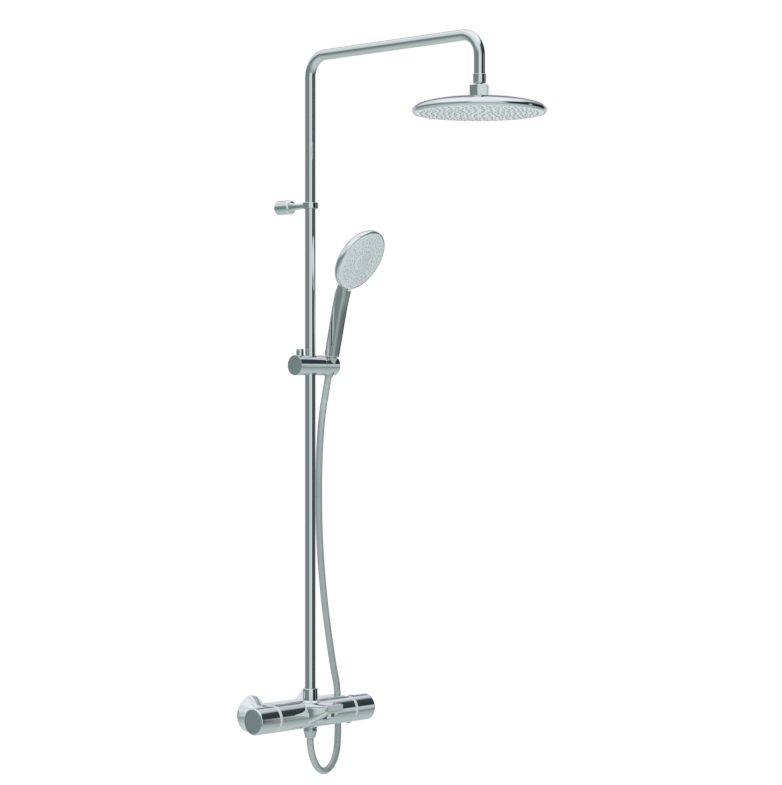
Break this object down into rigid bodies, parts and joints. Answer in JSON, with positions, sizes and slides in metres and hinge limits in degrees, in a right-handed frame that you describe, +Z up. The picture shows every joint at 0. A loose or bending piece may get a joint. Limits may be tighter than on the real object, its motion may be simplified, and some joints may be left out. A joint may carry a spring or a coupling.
{
  "type": "wall-mounted bath and shower column",
  "caption": "Chrome wall-mounted thermostatic bath and shower column: mixer with spout and two knobs, bent riser with rain head, sliding holder with handset, and a looped hose.",
  "frame": {"origin": "midway between the axes of the two wall inlets, on the finished wall surface", "axes": "+Z up; +Y into the wall, so the column stands towards -Y; +X to the right of a person facing the wall"},
  "size_m": [0.3006, 0.643, 1.3773],
  "materials": {
    "brass_chromed": "polished chrome plate on cast or drawn brass; look is chrome",
    "plastic_chromed": "polished chrome plate on moulded plastic; look is chrome",
    "satin_ring": "satin metallised ring",
    "red_plastic": "red moulded plastic",
    "pale_plastic": "pale blue-grey moulded plastic",
    "dark_plastic": "dark moulded plastic",
    "silicone": "soft silicone",
    "rubber": "black rubber washer",
    "brass": "machined brass",
    "steel": "bright steel",
    "hose_skin": "smooth satin grey skin over a reinforced hose"
  },
  "bodies": {
    "column": {"ball_stem": "brass_chromed", "bracket_body": "brass_chromed", "bracket_grub_screw": "steel", "bracket_liner": "dark_plastic", "bracket_wall_plate": "steel", "bracket_wall_screw": "steel", "diverter_cartridge": "dark_plastic", "escutcheon_left": "plastic_chromed", "escutcheon_right": "plastic_chromed", "flow_stop_ring": "satin_ring", "hose_lower_nut": "brass_chromed", "hose_outlet_nipple": "brass", "hose_tube": "hose_skin", "hose_washer_lower": "rubber", "inlet_union_left": "brass", "inlet_union_right": "brass", "inlet_washer_left": "rubber", "inlet_washer_right": "rubber", "mixer_body": "brass_chromed", "riser_nut": "brass_chromed", "riser_seal": "rubber", "riser_tube": "brass_chromed", "spout_aerator": "plastic_chromed", "swivel_collar": "brass_chromed", "temperature_stop_ring": "satin_ring", "thermostat_cartridge": "brass", "union_nut_left": "brass_chromed", "union_nut_right": "brass_chromed"},
    "flow_control": {"flow_knob": "plastic_chromed", "diverter_spindle": "brass", "flow_knob_cap": "plastic_chromed", "flow_knob_screw": "steel"},
    "temperature_control": {"temperature_knob": "plastic_chromed", "thermostat_spindle": "brass", "temperature_knob_cap": "plastic_chromed", "temperature_knob_screw": "steel"},
    "safety_stop": {"safety_button": "red_plastic", "safety_button_spring": "steel"},
    "head_swivel": {"swivel_gasket": "dark_plastic"},
    "rain_head": {"ball_nut": "brass_chromed", "ball_seat": "pale_plastic", "head_shell": "plastic_chromed", "head_waterway": "dark_plastic", "head_nozzle_mat": "silicone", "head_spray_plate": "pale_plastic"},
    "slider_carriage": {"slider_bush": "dark_plastic"},
    "slider": {"slider_body": "plastic_chromed", "holder_axle": "steel"},
    "slider_release": {"slider_button": "plastic_chromed", "slider_button_spring": "steel"},
    "holder": {"holder_socket": "plastic_chromed", "holder_friction_washer": "dark_plastic"},
    "handset": {"handset_body": "plastic_chromed", "handset_inlet_nipple": "brass", "hose_washer_upper": "rubber", "hose_upper_nut": "brass_chromed"},
    "spray_selector": {"handset_spray_face": "pale_plastic", "spray_selector_tab": "pale_plastic"}
  },
  "joints": [
    {"name": "flow_knob_turn", "type": "hinge", "parent": "column", "child": "flow_control", "pos_m": [-0.1016, -0.085, 0], "axis": [1, 0, 0], "range_deg": [-90, 90]},
    {"name": "temperature_knob_turn", "type": "hinge", "parent": "column", "child": "temperature_control", "pos_m": [0.1056, -0.085, 0], "axis": [1, 0, 0], "range_deg": [-120, 45]},
    {"name": "safety_button_press", "type": "slide", "parent": "temperature_control", "child": "safety_stop", "axis": [0, 0, -1], "range_m": [0, 0.0015], "stiffness_N_per_m": 1200, "springref_m": -0.001, "deforming": ["safety_button_spring"]},
    {"name": "head_swivel_turn", "type": "hinge", "parent": "column", "child": "head_swivel", "pos_m": [0, -0.511, 1.1395], "axis": [0, 0, 1], "continuous": true},
    {"name": "head_tilt", "type": "hinge", "parent": "head_swivel", "child": "rain_head", "pos_m": [0, -0.511, 1.1395], "axis": [1, 0, 0], "range_deg": [-10, 10]},
    {"name": "slider_slide", "type": "slide", "parent": "column", "child": "slider_carriage", "axis": [0, 0, 1], "range_m": [-0.3, 0.04], "deforming": ["hose_tube"]},
    {"name": "slider_swing", "type": "hinge", "parent": "slider_carriage", "child": "slider", "pos_m": [0, -0.085, 0.66], "axis": [0, 0, 1], "range_deg": [-60, 60]},
    {"name": "slider_button_press", "type": "slide", "parent": "slider", "child": "slider_release", "axis": [0, 0, -1], "range_m": [0, 0.0035], "stiffness_N_per_m": 700, "springref_m": -0.002, "deforming": ["slider_button_spring"]},
    {"name": "holder_tilt", "type": "hinge", "parent": "slider", "child": "holder", "pos_m": [0.04, -0.085, 0.66], "axis": [1, 0, 0], "range_deg": [-6, 25]},
    {"name": "handset_twist", "type": "hinge", "parent": "holder", "child": "handset", "pos_m": [0.0465, -0.09152, 0.65847], "axis": [0, -0.2284, 0.9736], "range_deg": [-25, 45]},
    {"name": "spray_selector_turn", "type": "hinge", "parent": "handset", "child": "spray_selector", "pos_m": [0.05105, -0.17112, 0.85601], "axis": [0.1325, -0.8481, -0.5129], "range_deg": [-20, 20]}
  ]
}
